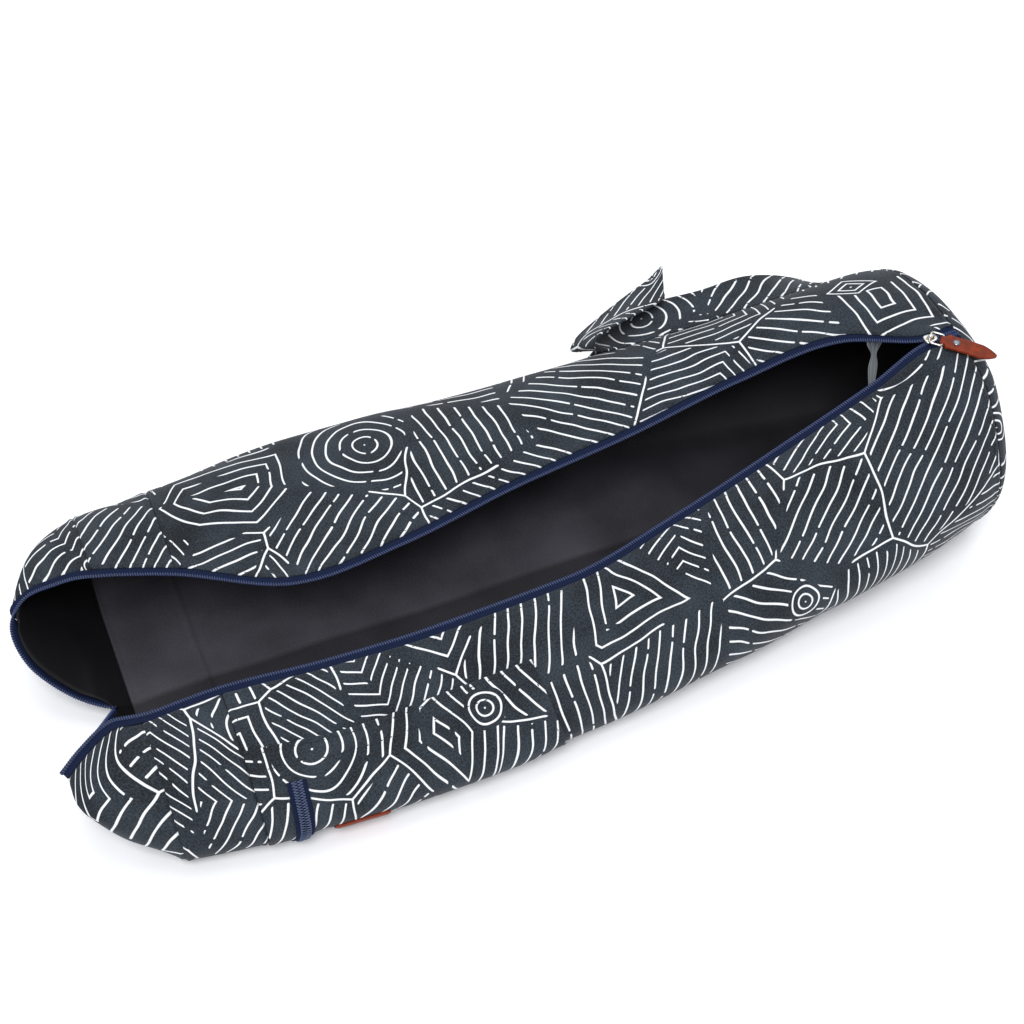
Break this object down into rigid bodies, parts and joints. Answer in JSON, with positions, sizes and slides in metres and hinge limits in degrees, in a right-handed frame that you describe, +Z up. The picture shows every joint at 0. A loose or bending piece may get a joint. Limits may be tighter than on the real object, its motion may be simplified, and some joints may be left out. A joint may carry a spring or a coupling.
{
  "type": "yoga mat bag",
  "caption": "Long soft cloth bag for a rolled exercise mat, lying on its back with its long zip open, with a patch pocket and a wide shoulder strap.",
  "frame": {"origin": "under the middle of the bag's box, on the surface that it lies on", "axes": "+X along the bag from the open end to the closed end, +Y from the pocket's wall to the strap's wall, +Z up"},
  "size_m": [0.7792, 0.3724, 0.1689],
  "materials": {
    "printed_canvas": "matte canvas, dark slate with a white line print",
    "black_lining": "smooth black lining",
    "navy_tape": "woven navy tape",
    "navy_coil": "half gloss nylon",
    "bright_metal": "bright nickel",
    "tan_leather": "smooth tan leather",
    "grey_tag": "thin gathered ribbon"
  },
  "bodies": {
    "root": {"body_canvas": "printed_canvas", "band_canvas": "printed_canvas", "open_end_canvas": "printed_canvas", "closed_end_canvas": "printed_canvas", "lining": "black_lining", "near_zip_tape": "navy_tape", "far_zip_tape": "navy_tape", "near_zip_coil": "navy_coil", "far_zip_coil": "navy_coil", "pocket_canvas": "printed_canvas", "side_zip_tape": "navy_tape", "side_zip_coil": "navy_coil", "leather_patch": "tan_leather", "shoulder_strap": "printed_canvas", "zip_slider": "bright_metal", "pull_ring": "bright_metal", "pull_tab": "tan_leather", "pull_rivet": "bright_metal", "inner_tag": "grey_tag"}
  },
  "joints": []
}
